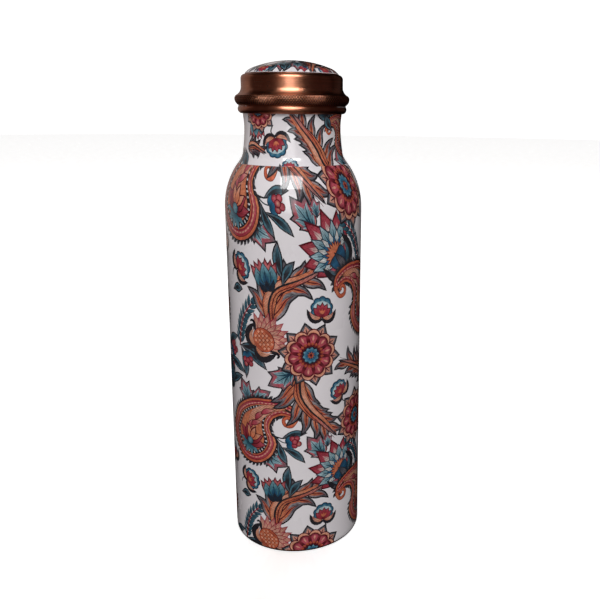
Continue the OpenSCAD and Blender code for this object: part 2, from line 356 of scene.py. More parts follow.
def thistle():
    """A seed head: a chequered globe in a dark cup, under a ragged crown."""
    art = [stroke(through([0, -3j - 1, -8j - 5]), 1.6, 0.7, "charcoal")]
    for ring, (reach, width) in enumerate(((15.5, 4.6), (12.0, 4.0))):
        for k in range(9 - ring):
            a = 162 - 18 * k - 9 * ring
            art += lined([leaf(7j, 7.5j + reach * cis(a), width, "orange salmon peach rose",
                               hatch=0.8)], 0.28, "crimson")
    globe = [7.2 * math.cos(t) + 1j * (7 + 6.2 * math.sin(t)) for t in np.arange(22) * math.pi / 11]
    art += lined([fill(globe, "rust rust orange", 7j, 14j, radial=True)], 0.3, "maroon")
    for i in range(-4, 5):
        for j in range(-4, 5):
            p = 1.75 * (i + 1j * j) * cis(12) + 7j
            if abs((p - 7j).real / 6.1 + 1j * (p - 7j).imag / 5.2) < 1:
                square = [p + 0.98 * cis(12 + a) for a in (45, 135, 225, 315)]
                art.append(fill(square, "amber orange" if (i + j) % 2 else "peach amber"))
    horns = [leaf(-1.5j, 10.6 * side + 8.5j, 5.6, "charcoal", bend=-0.3 * side, belly=0.75)
             for side in (-1, 1)]
    inner = [leaf(0.4j, 8.4 * side + 6.6j, 2.9, "amber peach", bend=-0.3 * side, hatch=1.0)
             for side in (-1, 1)]
    tips = [stroke(through([7.6 * s + 6j, 10.6 * s + 8.6j, 12.6 * s + 8.4j, 12.9 * s + 6.8j]), 2.2, 1.0,
                   "charcoal") for s in (-1, 1)]
    return art + lined(horns, 0.2) + tips + inner


def plume(path, width, paints, hatch=0.0):
    """A curved leaf along a path, broad at its root."""
    share = np.linspace(0, 1, len(path))
    half = normals(path) * width / 2 * np.interp(share, [0, 0.22, 0.6, 0.85, 1], [0.5, 1, 0.72, 0.4, 0])
    return fill(np.concatenate([path - half, (path + half)[-2::-1]]), paints, path[0], path[-1],
                hatch=hatch)


def feather(spine, lobes=5, reach=10.0, core=6.0):
    """A leaf like a flame along a curved spine: its lobes run forwards and then hook outwards,
    orange at their roots and grey at their tips."""
    path = through(spine, steps=8)
    aside = normals(path)
    ahead = aside / 1j
    n = len(path) - 1
    length = float(np.sum(abs(np.diff(path))))
    outside, middle, veins = [], [], []
    for k in range(lobes):
        for side in (-1, 1):
            start = (k + (0.0 if side < 0 else 0.45)) / (lobes + 0.5)
            i = int(start * n)
            run = length * (0.3 - 0.1 * start) * ahead[i]
            out = side * reach * (1 - 0.6 * start) * (1.0 if side < 0 else 0.7) * aside[i]
            curve = through([path[i], path[i] + 0.4 * run + 0.42 * out,
                             path[i] + 0.78 * run + 0.74 * out, path[i] + 0.98 * run + 1.2 * out],
                            steps=4)
            wide = 0.42 * abs(run)
            outside.append(flame(curve, wide, "orange ash grey grey", 0.9))
            middle.append(flame(curve[:-2], 0.56 * wide, "orange amber orange salmon", 0.7))
            veins.append(stroke(curve[2:-2], 0.7, 0.3, "maroon"))
    body = plume(path, core, "orange amber orange salmon grey", 0.9)
    glow = plume(path + 0.17 * core * aside, 0.4 * core, "amber peach amber orange", 0.5)
    return (lined(outside, 0.5) + middle + veins + lined([body], 0.3) + [glow]
            + [stroke(path, 1.3, 0.5, "charcoal"), stroke(path - 0.26 * core * aside, 0.6, 0.2, "maroon")])


def even(path, pitch):
    """Places at equal steps along a closed path, and the direction there."""
    ring = np.append(path, path[0])
    run = np.concatenate([[0], np.cumsum(abs(np.diff(ring)))])
    at = np.arange(0, run[-1] - pitch / 2, pitch)
    spots = np.interp(at, run, ring.real) + 1j * np.interp(at, run, ring.imag)
    ahead = np.interp(at + 0.1, run, ring.real) + 1j * np.interp(at + 0.1, run, ring.imag)
    return list(zip(spots, (ahead - spots) / np.maximum(abs(ahead - spots), 1e-9)))


def paisley():
    """A teardrop whose tip curls over to the right, with banded edges and a bouquet inside."""
    bulb = 17.0
    spine = through([0, 1.5 + 7j, 6 + 13.5j, 13 + 17.6j, 20 + 18.4j, 25.4 + 16j, 27.6 + 11.8j],
                    steps=5)
    t = np.linspace(0, 1, len(spine))
    half = np.interp(t, [0, 0.16, 0.34, 0.5, 0.67, 0.84, 1], [bulb, 14.6, 9.8, 5.9, 3.9, 2.9, 0.9])
    aside = normals(spine)

    def band(depth, thin_out=True):
        """The outline at a depth. It ends where the tail gets too thin for it."""
        width = half * np.exp(-depth / half)
        keep = width > 0.22 if thin_out else slice(None)
        cap = width[0] * aside[0] * np.exp(1j * np.linspace(0, math.pi, 17))
        left = (spine + aside * width)[keep]
        right = (spine - aside * width)[keep]
        return np.concatenate([cap, right[1:], left[:0:-1]])

    art = []
    for p, along in even(band(0), 2.6):
        out = -1j * along
        art.append(leaf(p + 0.9 * along - 0.5 * out, p + 2.2 * out - 1.6 * along, 2.0,
                        "charcoal charcoal grey", steps=4))
    curl = [23.4 + 11.6j + (4.1 - 0.55 * k) * cis(0 - 62 * k) for k in range(7)]
    hook = stroke(through([27.4 + 13.4j] + curl, steps=4), 1.7, 0.8, "orange amber orange")
    bands = [(0.2, "orange amber orange"), (1.5, "maroon"), (1.8, "crimson rose crimson"),
             (3.0, "rose salmon rose"), (4.2, "crimson"), (5.0, "maroon"), (5.3, "orange amber"),
             (6.1, "charcoal"), (9.8, "orange amber"), (10.4, "rust"), (10.7, "orange amber orange")]
    art.append(fill(grow(band(0), 0.6), "charcoal"))
    art += [fill(band(depth), paints, -16j, 20j + 12) for depth, paints in bands]
    for p, along in even(band(3.6), 2.3):
        art.append(leaf(p - 0.85 * along, p + 0.85 * along, 0.6, "peach", steps=3))
    last = 0j
    for p, far in zip(band(6.6, False), band(9.5, False)):
        if abs(far - p) > 1.0 and abs(p - last) > 1.5:
            last = p
            art.append(leaf(p, far, 0.95, "ground ash", steps=3))
    art.append(flame(spine[2:-8], 7.5, "amber peach amber", 0.8))
    for at, tip in ((-1 + 3j, 3 + 9j), (1 + 6j, 8 + 9j), (4 + 10j, 10 + 15j), (8 + 14j, 16 + 17j)):
        art += lined([leaf(at, tip, 2.6, "crimson rose peach", bend=0.1)], 0.3, "maroon")
    art += place(flower_heart(), -0.8 - 4.6j, turn=-25, size=1.12)
    art += lined([hook], 0.3, "rust")
    return art


def flower_heart():
    """The small bouquet inside a teardrop."""
    art = lined([leaf(0, 7.2 * cis(a), 2.6, "navy teal aqua", steps=5) for a in (200, 235, 270, 305, 340)],
                0.2, "navy")
    art += petals(0, (155, 25, 125, 55, 90), 9.2, 4.4, "maroon crimson rose", 0.35, "maroon", hatch=0.6)
    art += petals(2j, (128, 52, 90), 7, 2.8, "orange amber peach", 0.3, "maroon", steps=5)
    return art + lined([disc(0.6j, 1.8, "aqua teal", 10)], 0.25, "navy")


# ---------------------------------------------------------------- layouts
FULL = 1.06                 # how fully the body's drawings fill their places


def body_pattern():
    """One repeat of the body's film, in millimetres across from the front and up from the foot."""
    return laid_out([
        # the left-hand teardrop with its leaves and twig
        (lobed_leaf(), -27 + 87j, 30, 0.74),
        (lobed_leaf(), -25 + 88j, -56, 0.7),
        (lobed_leaf(), -20 + 59j, -114, 0.86),
        (blade(2 - 7j, 4.0), -19 + 68j, 20),
        (paisley(), -27.5 + 68j, 0, 0.93),
        (sprig(), -12.5 + 70j, 0, 0.86),
        # the seed head, its fern and twig, and the leaf that rises from it
        (fern(), -34 + 117.5j, -6, 1.02),
        (blade(13 + 0.5j), -33 + 118j, -8),
        (blade(15 - 9j), -32 + 117.5j),
        (blade(3.5 - 15j), -33 + 117j),
        (berries(), -28.5 + 115j, -170, 0.85),
        (feather([0, 0.5 + 8j, 5 + 14.5j, 17 + 18.5j, 30 + 23j], lobes=6, reach=12.5, core=6.6),
         -13 + 134.5j),
        (thistle(), -22 + 119.5j, -50, 0.86),
        (blade(15j, 4.0), -4 + 36j, 2),
        (blade(11.5j, 3.6), -4.5 + 33.5j, -34),
        (tulip(), -12.5 + 32.5j, 8, 0.72),
        (bud(8, -0.3), -32 + 38j, -60, 0.76),
        (blade(7 + 1j, 3.6), -37 + 28.5j),
        # the large flower, the leaf that hangs from it and the bud above it
        (feather([0, 0.5 - 9j, 5 - 17j, 12 - 24.5j, 20 - 34j], lobes=6, reach=12, core=6.4), 2 + 103j),
        (lobed_leaf(), -1 + 107.5j, 122, 0.86),
        (bud(9, 0.3), 14.5 + 135j, -6, 0.76),
        (rosette(), 8 + 116j, 9, 0.88),
        # the open flower on the right
        (lobed_leaf(), 15.5 + 57j, 38, 0.84),
        (lobed_leaf(), 17.5 + 62j, 2, 0.4),
        (lotus(), 28.5 + 43j, 46, 0.98),
        (fern(), 46 + 39j, 14, 0.94, True),
        # the right-hand teardrop and what stands round it
        (paisley(), 51 + 18j, 0, 0.93, True),
        (feather([0, -8 + 7j, -18 + 12j, -33 + 19j], lobes=6, reach=11, core=5.8), 60 + 90j),
        (bud(8, -0.3), 27.5 + 90j, 37, 0.72),
        (rosette(), 40.5 + 73j, 3, 0.88),
        # the back, between the two
        (tulip(), -48 + 92j, 14, 0.95),
        (blade(12 + 8j), -46 + 92j),
        (blade(-11 + 6j), -50 + 92j),
        (bud(9, 0.2), -47 + 46j, 28, 0.8),
        (sprig(), -55 + 113j, 20),
    ], FULL)


STRETCH_FROM = 115.0        # height above which the body's film is stretched
STRETCH = 0.003             # how fast the stretch grows from there
TWIST = 0.0011              # and how fast the film twists


def film_to_wall(p):
    """Where a place on the flat film lies once it is shrunk on: it is drawn up and twisted
    a little towards the shoulder."""
    above = np.maximum(p.imag - STRETCH_FROM, 0)
    rise = (1 - np.sqrt(1 - 2 * STRETCH * above)) / STRETCH
    return p.real - TWIST * rise ** 2 + 1j * (np.minimum(p.imag, STRETCH_FROM) + rise)


def neck_pattern():
    """One repeat of the neck's film: half way round it, up from the seam."""
    return laid_out([
        (lobed_leaf(), 33 - 3j, 24, 0.8),
        (blade(-8 + 10j, 4.4), -24 - 2j),
        (blade(-3 + 9j, 4.0), -32 - 1j),
        (feather([0, -1.5 + 7j, -5.5 + 14j, -11.5 + 21j, -17.5 + 29j], lobes=5, reach=10.5, core=7),
         16 - 2j),
        (bud(8, 0.3), -9.5 + 14.5j, 191, 0.76),
        (tulip(), -22 + 23j, 182, 0.62),
        (rosette(), -19.5 + 27.5j, 12, 0.62),
        (feather([0, 5 + 0.8j, 13 - 2.5j], lobes=4, reach=5, core=4), -28 + 9.5j),
        (paisley(), 36 + 14j, 10, 0.56, True),
        (blade(-9 - 1j, 4.6), 23 + 26.5j),
        (blade(-5 + 7j), 24 + 18j),
        (bud(5, 0.2), -2 - 2j, -12, 0.5),
    ])


def dome_pattern():
    """The dome's drawing, on its disc."""
    return laid_out([
        (rosette(), 0.5 + 14.5j, 9, 0.52),
        *((lobed_leaf(), 13 * cis(90 + turn), turn, 0.6) for turn in (-62, 60)),
        (feather([0, 6 + 3j, 12 + 1j, 21 - 3j], lobes=5, reach=6.5, core=6.5), -11 - 5j),
        (lobed_leaf(), -4 - 11j, 172, 0.68),
        (blade(-4 - 9j, 3.4), 1 - 10j),
        (blade(6 - 8j, 3.2), 3 - 10j),
        (lobed_leaf(), 2.5 - 14j, 182, 0.52),
        (berries(), 6.5 - 19.5j, 150, 0.42),
        (blade(-3 - 6j, 2.6), -1 - 17j),
        (blade(2 - 6j, 2.6), -5.5 - 17j),
        (blade(-9 - 2j, 3.4), -12 - 9j),
        (blade(-3 - 8j, 3.0), -8 - 14j),
        (bud(6, 0.2), -13 - 15j, 158, 0.5),
        (feather([0, 0.5 - 5j, 0 - 13j], lobes=4, reach=5, core=5), 9 - 9j),
        (feather([0, 5 - 1j, 11 - 6j], lobes=4, reach=5, core=4.5), 11 - 5j),
        (bud(6, 0.2), 15 - 14j, 206, 0.5),
        (feather([0, -2 + 6j, 2 + 13j], lobes=4, reach=5, core=4.5), -20 - 2j),
        (feather([0, 2 + 6j, -2 + 14j], lobes=4, reach=5, core=4.5), 20 + 2j),
        (bud(6, 0.2), -13.5 + 15j, 44, 0.62),
        (bud(6, 0.2), 13 + 17j, -40, 0.62),
    ])

# ---------------------------------------------------------------- walls
def top(node):
    """The height of a CAD node's top, in millimetres."""
    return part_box(node)[1].z / MM


def foot(node):
    """The height of a CAD node's foot, in millimetres."""
    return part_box(node)[0].z / MM


def widest(node):
    """The greatest radius of a CAD node, in millimetres."""
    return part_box(node)[1].x / MM


def arc(centre, radius, start, end, steps=24):
    """Points on an arc from one angle to another, in degrees."""
    return centre + radius * np.exp(1j * np.radians(np.linspace(start, end, steps + 1)))


def body_wall():
    """The body's outline from the foot to the seam between the two films."""
    end = math.degrees(math.asin((top("body_print") - SHOULDER_Z) / SHOULDER_R))
    curve = arc(BODY_R - SHOULDER_R + 1j * SHOULDER_Z, SHOULDER_R, 0, end, 80)
    return np.concatenate([[BODY_R + 1j * foot("body_print")], curve])


def neck_wall():
    """The outline from that seam up to the collar: shoulder, hollow and flared neck."""
    across = NECK_FOOT_R + HOLLOW_R - (BODY_R - SHOULDER_R)
    meet = math.degrees(math.acos(across / (SHOULDER_R + HOLLOW_R)))
    start = math.degrees(math.asin((foot("neck_print") - SHOULDER_Z) / SHOULDER_R))
    neck_foot = SHOULDER_Z + (SHOULDER_R + HOLLOW_R) * math.sin(math.radians(meet))
    collar = top("neck_print")
    waist = neck_foot + NECK_WAIST * (collar - neck_foot)
    z = np.linspace(neck_foot, collar, 40)[1:]
    below = NECK_WAIST_R + (NECK_FOOT_R - NECK_WAIST_R) * ((waist - z) / (waist - neck_foot)) ** 2
    above = NECK_WAIST_R + (NECK_TOP_R - NECK_WAIST_R) * ((z - waist) / (collar - waist)) ** 2
    return np.concatenate([
        arc(BODY_R - SHOULDER_R + 1j * SHOULDER_Z, SHOULDER_R, start, meet, 12),
        arc(NECK_FOOT_R + HOLLOW_R + 1j * neck_foot, HOLLOW_R, 180 + meet, 180, 24)[1:],
        np.where(z < waist, below, above) + 1j * z,
    ])


def run_of(outline):
    """The distance from an outline's start to each of its points."""
    return np.concatenate([[0], np.cumsum(abs(np.diff(outline)))])


# ---------------------------------------------------------------- meshes
def make_mesh(name, points, faces, shade_normals=None, flat=()):
    """A mesh object from points in millimetres."""
    mesh = bpy.data.meshes.new(name)
    mesh.from_pydata((np.asarray(points) * MM).tolist(), [], [list(map(int, f)) for f in faces])
    smooth = np.ones(len(mesh.polygons), bool)
    smooth[list(flat)] = False
    mesh.polygons.foreach_set("use_smooth", smooth)
    if shade_normals is not None:
        mesh.normals_split_custom_set_from_vertices(shade_normals.tolist())
    piece = bpy.data.objects.new(name, mesh)
    bpy.context.scene.collection.objects.link(piece)
    return piece


def on_ring(outline_points, angles):
    """Points in space for places on an outline at angles round Z, in radians, from the front."""
    r, z = outline_points.real, outline_points.imag
    return np.stack([r * np.sin(angles), -r * np.cos(angles), z + 0 * angles], axis=-1)


def zip_rings(low, low_angles, high, high_angles):
    """Triangles between two rings of points whose angles each run once round."""
    faces = []
    i = j = 0
    a = np.append(low_angles, low_angles[0] + 2 * math.pi)
    b = np.append(high_angles, high_angles[0] + 2 * math.pi)
    low = np.append(low, low[0])
    high = np.append(high, high[0])
    while i < len(a) - 1 or j < len(b) - 1:
        if j == len(b) - 1 or (i < len(a) - 1 and a[i + 1] + a[i] <= b[j + 1] + b[j]):
            faces.append((low[i], low[i + 1], high[j]))
            i += 1
        else:
            faces.append((low[i], high[j + 1], high[j]))
            j += 1
    return faces


def turned(name, outline, columns, knurled=()):
    """A closed outline turned about Z. Two families of slanting grooves cross on the knurled
    rows and leave flat diamonds between them."""
    rows = len(outline)
    angles = 2 * math.pi * np.arange(columns) / columns
    points = on_ring(np.repeat(outline, columns), np.tile(angles, rows)).reshape(rows, columns, 3)
    dip = np.zeros((rows, columns), bool)
    # Marks the points at the bottom of the knurl's grooves, where the copper is darkened as painted shade
    groove_shade_mask = np.zeros((rows, columns))
    for row in knurled:
        dip[row] = ((np.arange(columns) + row) % 4 == 0) | ((np.arange(columns) - row) % 4 == 0)
        points[row, dip[row], :2] *= 1 - KNURL_DEPTH / outline[row].real
        groove_shade_mask[row] = dip[row]
    faces, flat = [], []
    for i in range(rows):
        k = (i + 1) % rows
        for j in range(columns):
            m = (j + 1) % columns
            corners = [i * columns + j, i * columns + m, k * columns + m, k * columns + j]
            if i in knurled or k in knurled:
                flat += [len(faces), len(faces) + 1]
                if not (dip[i, j] and dip[k, m]):
                    corners = corners[1:] + corners[:1]
                faces.append((corners[0], corners[1], corners[2]))
                faces.append((corners[0], corners[2], corners[3]))
            else:
                faces.append(corners)
    piece = make_mesh(name, points.reshape(-1, 3), faces, flat=flat)
    piece.data.attributes.new("painted_groove_shade", "FLOAT", "POINT").data.foreach_set("value", groove_shade_mask.ravel())
    return piece


# ---------------------------------------------------------------- printing on a mesh
def inside(points, outline):
    """Which points an outline goes round."""
    a = outline[:, None] - points
    b = np.roll(outline, -1)[:, None] - points
    turn = (np.conj(a) * b).imag
    up = (a.imag <= 0) & (b.imag > 0) & (turn > 0)
    down = (a.imag > 0) & (b.imag <= 0) & (turn < 0)
    return up.sum(0) != down.sum(0)


def near(points, outline):
    """The indices of the points in an outline's box."""
    return np.flatnonzero((points.real > outline.real.min()) & (points.real < outline.real.max())
                          & (points.imag > outline.imag.min()) & (points.imag < outline.imag.max()))


def seen_edges(shapes):
    """The edges of the outlines that no later shape covers, as two arrays of places."""
    a = np.concatenate([s.outline for s in shapes])
    b = np.concatenate([np.roll(s.outline, -1) for s in shapes])
    middle = (a + b) / 2
    owner = np.repeat(np.arange(len(shapes)), [len(s.outline) for s in shapes])
    hidden = np.zeros(len(a), bool)
    for k, shape in enumerate(shapes):
        spots = near(middle, shape.outline)
        spots = spots[(owner[spots] < k) & ~hidden[spots]]
        for ends in (middle, a, b):
            if len(spots):
                spots = spots[inside(ends[spots], shape.outline)]
        hidden[spots] = True
    return a[~hidden], b[~hidden]


def arrange(shapes, edge, grid):
    """Triangles that follow the outlines of shapes inside a convex edge.
    Returns the places, the triangles and the shape that shows on each triangle, or -1."""
    a, b = seen_edges(shapes)
    low = complex(edge.real.min(), edge.imag.min()) - MARGIN * (1 + 1j)
    high = complex(edge.real.max(), edge.imag.max()) + MARGIN * (1 + 1j)

    def within(p):
        return (p.real > low.real) & (p.real < high.real) & (p.imag > low.imag) & (p.imag < high.imag)

    keep = within(a) | within(b)
    lines = np.concatenate([np.stack([a[keep], b[keep]], 1), np.stack([edge, np.roll(edge, -1)], 1)])
    flat = np.concatenate([lines.reshape(-1), grid])
    pairs = np.arange(2 * len(lines)).reshape(-1, 2)
    out = delaunay_2d_cdt([Vector((p.real, p.imag)) for p in flat], pairs.tolist(), [], 0, 1e-4,
                          False)
    places = np.array([complex(v.x, v.y) for v in out[0]])
    triangles = np.array(out[2])
    centres = places[triangles].mean(1)
    sides = np.roll(edge, -1) - edge
    kept = np.all([(np.conj(d) * (centres - p)).imag > 0 for p, d in zip(edge, sides)], axis=0)
    triangles = triangles[kept]
    centres = centres[kept]
    corners = places[triangles]
    turn = (np.conj(corners[:, 1] - corners[:, 0]) * (corners[:, 2] - corners[:, 0])).imag
    triangles[turn < 0] = triangles[turn < 0][:, ::-1]
    shown = np.full(len(triangles), -1)
    for k, shape in enumerate(shapes):
        spots = near(centres, shape.outline)
        shown[spots[inside(centres[spots], shape.outline)]] = k
    used, compact = np.unique(triangles, return_inverse=True)
    return places[used], compact.reshape(-1, 3), shown


def corner_paint(shapes, places, triangles, shown):
    """At each corner: the colour; and the place across the hatch's lines, its strength, and 1
    where there is ink."""
    corners = places[triangles]
    colour = np.tile(linear(PAINTS["ground"]), corners.shape + (1,))
    hatch = np.zeros(corners.shape + (3,))
    order = np.argsort(shown, kind="stable")
    starts = np.searchsorted(shown[order], np.arange(len(shapes) + 1))
    for k, shape in enumerate(shapes):
        mine = order[starts[k]:starts[k + 1]]
        if not len(mine):
            continue
        p = corners[mine] - shape.a
        axis = shape.b - shape.a
        length = max(abs(axis), 1e-6)
        t = abs(p) / length if shape.radial else (p * np.conj(axis)).real / length ** 2
        paints = np.array([linear(PAINTS[name]) for name in shape.paints])
        stops = np.linspace(0, 1, len(paints))
        for channel in range(3):
            colour[mine, :, channel] = np.interp(t, stops, paints[:, channel])
        hatch[mine, :, 0] = (p * np.conj(axis)).imag / length
        hatch[mine, :, 1] = shape.hatch
        hatch[mine, :, 2] = 1
    return colour, hatch


def store_paint(piece, colour, hatch):
    """Keeps a film's paint on its mesh. Faces after the painted ones get the ground colour."""
    mesh = piece.data
    count = len(mesh.loops)
    full = np.ones((count, 4))
    full[:, :3] = linear(PAINTS["ground"])
    full[:colour.size // 3, :3] = colour.reshape(-1, 3)
    lines = np.zeros((count, 3))
    lines[:hatch.size // 3] = hatch.reshape(-1, 3)
    layer = mesh.attributes.new("print_colour", "FLOAT_COLOR", "CORNER")
    layer.data.foreach_set("color", full.ravel().astype(np.float32))
    layer = mesh.attributes.new("print_hatch", "FLOAT_VECTOR", "CORNER")
    layer.data.foreach_set("vector", lines.ravel().astype(np.float32))


def flat_sheet(left, width, height):
    """The edge of a flat film and an even grid of places inside it."""
    columns = round(width / FILM_STEP)
    rows = round(height / FILM_STEP)
    across = left + width * np.arange(columns + 1) / columns
    up = height * np.arange(rows + 1) / rows
    edge = np.concatenate([across, across[-1] + 1j * up[1:], across[-2::-1] + 1j * height,
                           left + 1j * up[-2:0:-1]])
    return edge, (across[1:-1, None] + 1j * up[None, 1:-1]).ravel()


def join_repeats(places, left, repeats):
    """Joins a film's repeats round the wall. Returns which places of one repeat become points,
    and each place's point in every repeat: those at the right are the next repeat's at the left."""
    on_left = np.flatnonzero(places.real < left + ON_SEAM)
    on_left = on_left[np.argsort(places[on_left].imag)]
    on_right = np.flatnonzero(places.real > -left - ON_SEAM)
    first = on_left[np.append(True, np.diff(places[on_left].imag) > 2 * ON_SEAM)]

    def partner(spots):
        """The seam point at each place's height."""
        return first[abs(places[spots].imag[:, None] - places[first].imag).argmin(1)]

    own = np.union1d(np.setdiff1d(np.arange(len(places)), np.union1d(on_left, on_right)), first)
    number = np.zeros((repeats, len(places)), int)
    for k in range(repeats):
        number[k, own] = k * len(own) + np.arange(len(own))
        number[k, on_left] = number[k, partner(on_left)]
    for k in range(repeats):
        number[k, on_right] = number[(k + 1) % repeats, partner(on_right)]
    return own, number


def on_wall(flat, lie, top_edge, outline, angles):
    """The points and normals of a film on its wall. Both cut edges are rounded a little."""
    dip = FILM_EDGE * np.clip(1 - np.minimum(flat.imag, top_edge - flat.imag) / (2 * FILM_EDGE), 0, 1)
    run = run_of(outline)
    spine = np.interp(lie.imag, run, outline)
    tangent = np.interp(lie.imag, run, np.gradient(outline) / abs(np.gradient(outline)))
    out = -1j * tangent / abs(tangent)
    tilt = np.where(dip > 0, np.where(flat.imag < top_edge / 2, -EDGE_TILT, EDGE_TILT), 0)
    lean = out * np.exp(1j * tilt)
    normal = np.stack([lean.real * np.sin(angles), -lean.real * np.cos(angles), lean.imag], 1)
    return on_ring(spine - dip * out, angles), normal


def wrapped_film(name, art, outline, base_r, repeats, wall_of=None):
    """A closed printed film on a wall that is turned about Z. The drawing is as wide as the wall's
    circle of radius base_r divided by the number of repeats. wall_of moves a place on the flat
    film to where it lies on the wall, across and up its outline."""
    length = run_of(outline)[-1]
    width = 2 * math.pi * base_r / repeats
    height = length
    if wall_of:
        tries = np.linspace(0, length, 20000)
        height = float(np.interp(length, wall_of(1j * tries).imag, tries))
    left = -width / 2
    edge, grid = flat_sheet(left, width, height)
    shapes = [s for s in art
              if s.outline.real.max() > left - MARGIN and s.outline.real.min() < MARGIN - left
              and s.outline.imag.max() > -MARGIN and s.outline.imag.min() < height + MARGIN]
    places, triangles, shown = arrange(shapes, edge, grid)
    colour, hatch = corner_paint(shapes, places, triangles, shown)

    own, number = join_repeats(places, left, repeats)
    flat = np.concatenate([places[own] + width * k for k in range(repeats)])
    lie = wall_of(flat) if wall_of else flat
    angles = lie.real / base_r
    points, normal = on_wall(flat, lie, height, outline, angles)
    faces = np.concatenate([number[k][triangles] for k in range(repeats)])
    whole = np.all(faces != np.roll(faces, 1, axis=1), axis=1)

    ring = 2 * math.pi * np.arange(LINING_COLUMNS) / LINING_COLUMNS
    way = np.gradient(outline)
    back = outline + FILM_T * 1j * way / abs(way)
    lining = np.concatenate([on_ring(np.full(LINING_COLUMNS, p), ring) for p in back])
    inward = np.tile(np.stack([-np.sin(ring), np.cos(ring), 0 * ring], 1), (len(back), 1))
    rings = len(points) + np.arange(len(lining)).reshape(-1, LINING_COLUMNS)
    extra = []
    for low, high in zip(rings[:-1], rings[1:]):
        extra += [f[::-1] for f in zip_rings(low, ring, high, ring)]
    for at_edge, rim, step in ((flat.imag < ON_EDGE, rings[0], 1),
                               (flat.imag > height - ON_EDGE, rings[-1], -1)):
        loop = np.flatnonzero(at_edge)
        turn = angles[loop] % (2 * math.pi)
        order = np.argsort(turn)
        extra += [f[::step] for f in zip_rings(rim, ring, loop[order], turn[order])]
    piece = make_mesh(name, np.concatenate([points, lining]), list(faces[whole]) + extra,
                      np.concatenate([normal, inward]))
    store_paint(piece, np.concatenate([colour] * repeats)[whole],
                np.concatenate([hatch] * repeats)[whole])
    return piece

# ---------------------------------------------------------------- pieces
BODY_R = widest("body_print")                # radius of the straight wall
TILE = complex(BODY_R * math.pi, 118.0)     # one repeat of the body's film: half way round it
SHOULDER_Z = 189.5          # where the straight wall turns into the shoulder
SHOULDER_R = 39.5           # radius of the shoulder's curve
HOLLOW_R = 8.0              # radius of the hollow between the shoulder and the neck
NECK_FOOT_R = 26.0          # radius where the neck leaves that hollow
NECK_WAIST_R = 25.05
NECK_TOP_R = 25.7           # radius under the collar
NECK_WAIST = 0.64           # share of the neck's height at which it is narrowest
FILM_T = 0.19               # thickness of a film and its lacquer
FILM_EDGE = 0.1             # how far a film's cut edge is rounded
EDGE_TILT = 0.2             # how far its normals lean there, in radians
FILM_STEP = 2.0             # widest spacing of a film's points
MARGIN = 2.0                # how far past a film's edge its drawing is still worked out
LINING_COLUMNS = 96         # points round the hidden side of a film
ON_EDGE = 2e-4              # how near a film's edge a point lies that is on it
ON_SEAM = 1e-3              # the same for the seam between two repeats and for the dome's rim
CAP_T = 0.6                 # thickness of the cap's sheet
SKIRT_R = 26.17             # radius of the cap's straight skirt
HEM_ANGLE = 60              # the bead curls in to this angle below its middle
HEM_DROP = 0.18             # and its rounded edge drops a little below that
HEM_POINTS = 2              # points of the bead's outline below the knurl
BEAD_LOW_R = 3.75           # lower half of the bead
BEAD_HIGH_R = 2.0           # upper half of the bead
COVE_R = 4.5                # hollow between the bead and the skirt
CROWN_R = 2.2               # curl over the top of the skirt
DOME_R = 56.0               # radius of the dome's shallow middle
DOME_MIDDLE_R = 20.0        # where that middle gives way to the tighter curve at the edge
DOME_EDGE_R = 10.0          # radius of that tighter curve
DOME_STEP = 1.4             # widest spacing of the dome film's points
KNURL_DEPTH = 0.16          # depth of the grooves between the diamonds
KNURLS = 138                # diamonds round the bead
KNURL_ROWS = 13             # rows of points up the knurl, 4 to a diamond
HATCH_PITCH = 0.9           # spacing of the fine lines in the drawing
NECK_R = 27.0               # radius at which the neck's drawing has its own size


def tiled(drawing, tile, across, up):
    """Copies of a drawing side by side and one above the other."""
    return [s for j in up for i in across
            for s in place(drawing, i * tile.real + 1j * j * tile.imag)]


def make_body_print():
    art = tiled(body_pattern(), TILE, (-1, 0, 1), (-1, 0, 1, 2))
    piece = wrapped_film("body_film", art, body_wall(), BODY_R, 2, film_to_wall)
    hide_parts("body_print")
    return piece


def make_neck_print():
    width = 2 * math.pi * NECK_R / 2
    art = tiled(neck_pattern(), complex(width, 0), (-1, 0, 1), (0,))
    piece = wrapped_film("neck_film", art, neck_wall(), NECK_R, 2)
    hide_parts("neck_print")
    return piece


def dome_wall():
    """The dome's outline from its edge to its top: a tight curve, then the shallow middle."""
    turn = math.degrees(math.acos(DOME_MIDDLE_R / DOME_R))
    middle = 1j * (top("dome_print") - DOME_R)
    edge = middle + (DOME_R - DOME_EDGE_R) * cis(turn)
    start = math.degrees(math.acos((widest("dome_print") - edge.real) / DOME_EDGE_R))
    return np.concatenate([arc(edge, DOME_EDGE_R, start, turn, 12),
                           arc(middle, DOME_R, turn, 90, 40)[1:]])


